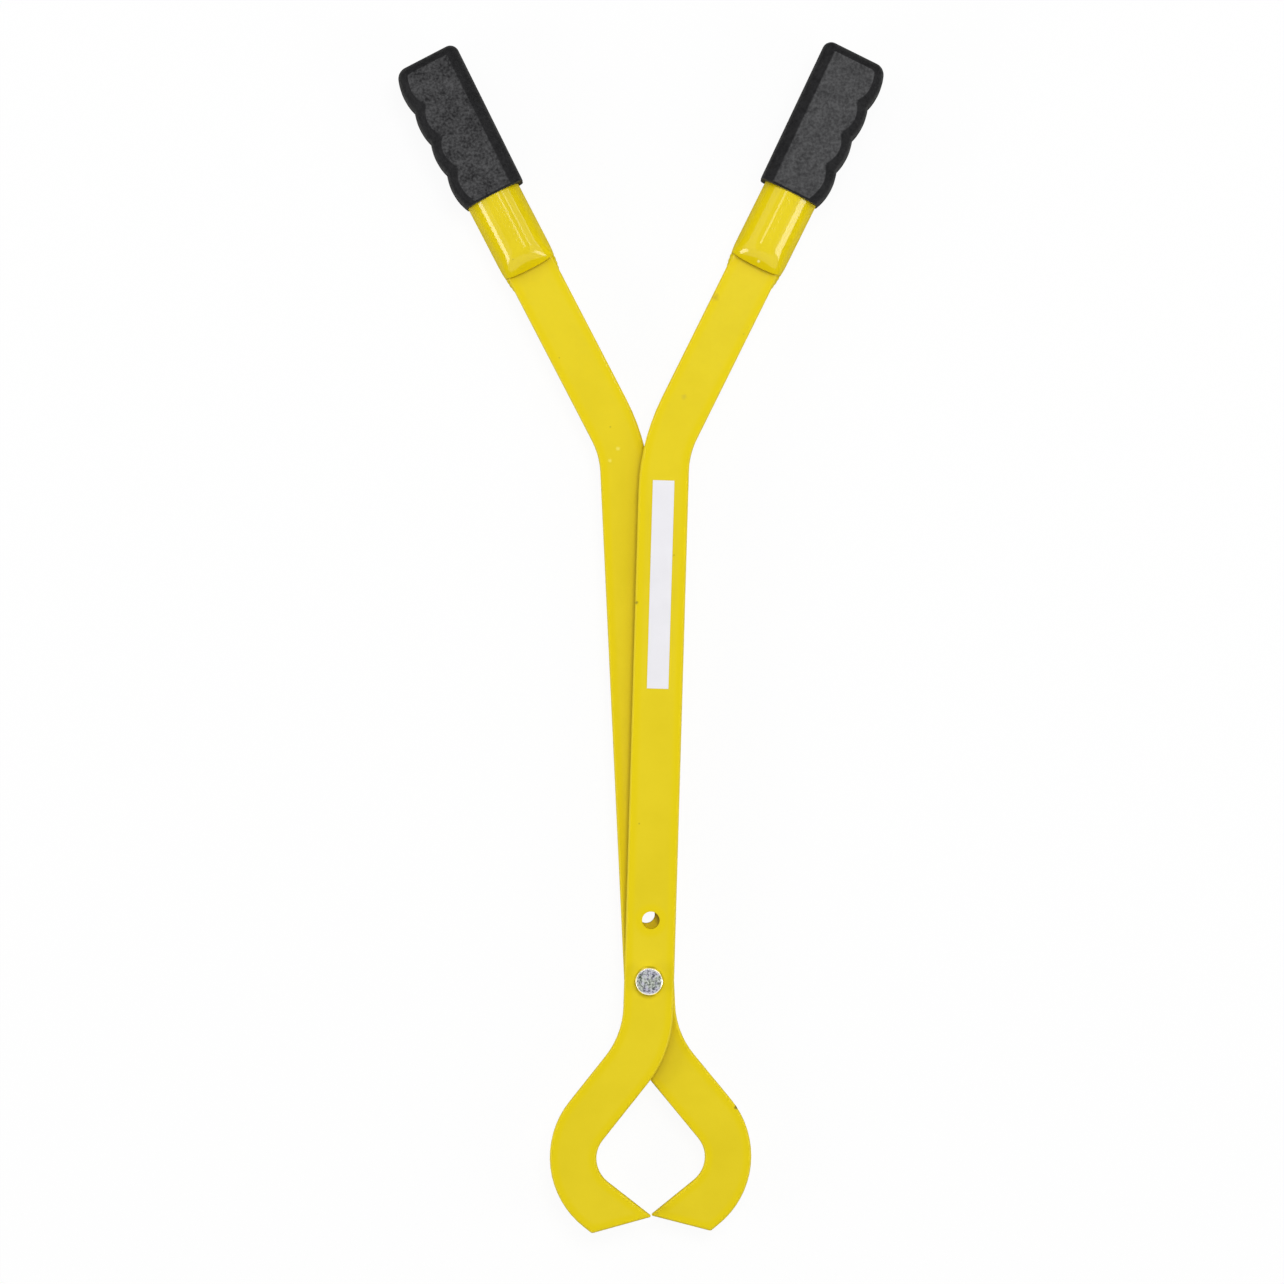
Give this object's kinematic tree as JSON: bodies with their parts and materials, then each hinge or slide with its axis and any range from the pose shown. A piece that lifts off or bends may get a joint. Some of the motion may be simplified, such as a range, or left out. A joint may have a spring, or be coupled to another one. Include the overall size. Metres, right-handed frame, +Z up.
{
  "type": "curb stone tongs",
  "caption": "Curb stone tongs: two crossed flat steel arms on one bolt, hooked jaws below, angled tube handles with moulded finger grips above",
  "frame": {"origin": "middle of the bounding box in X and Y, lowest point of the rear grip in Z", "axes": "+Y runs from the jaws to the handles, +Z up along the pivot bolt with its head on top, +X towards the front arm's handle"},
  "size_m": [0.2912, 0.7134, 0.0472],
  "materials": {
    "paint": "glossy",
    "grip": "matte",
    "zinc": "satin",
    "insert": "satin",
    "film": "satin"
  },
  "bodies": {
    "rear_half": {"rear_arm": "paint", "rear_handle_tube": "paint", "rear_outer_weld": "paint", "rear_inner_weld": "paint", "rear_grip": "grip", "pivot_bolt": "zinc", "washer": "zinc", "pivot_nut": "zinc", "insert_ring": "insert"},
    "front_half": {"front_arm": "paint", "front_handle_tube": "paint", "front_outer_weld": "paint", "front_inner_weld": "paint", "front_grip": "grip", "label": "film"}
  },
  "joints": [
    {"name": "pivot", "type": "hinge", "parent": "rear_half", "child": "front_half", "pos_m": [0.00023, -0.20567, 0.0236], "axis": [0, 0, -1], "range_deg": [0, 60]}
  ]
}
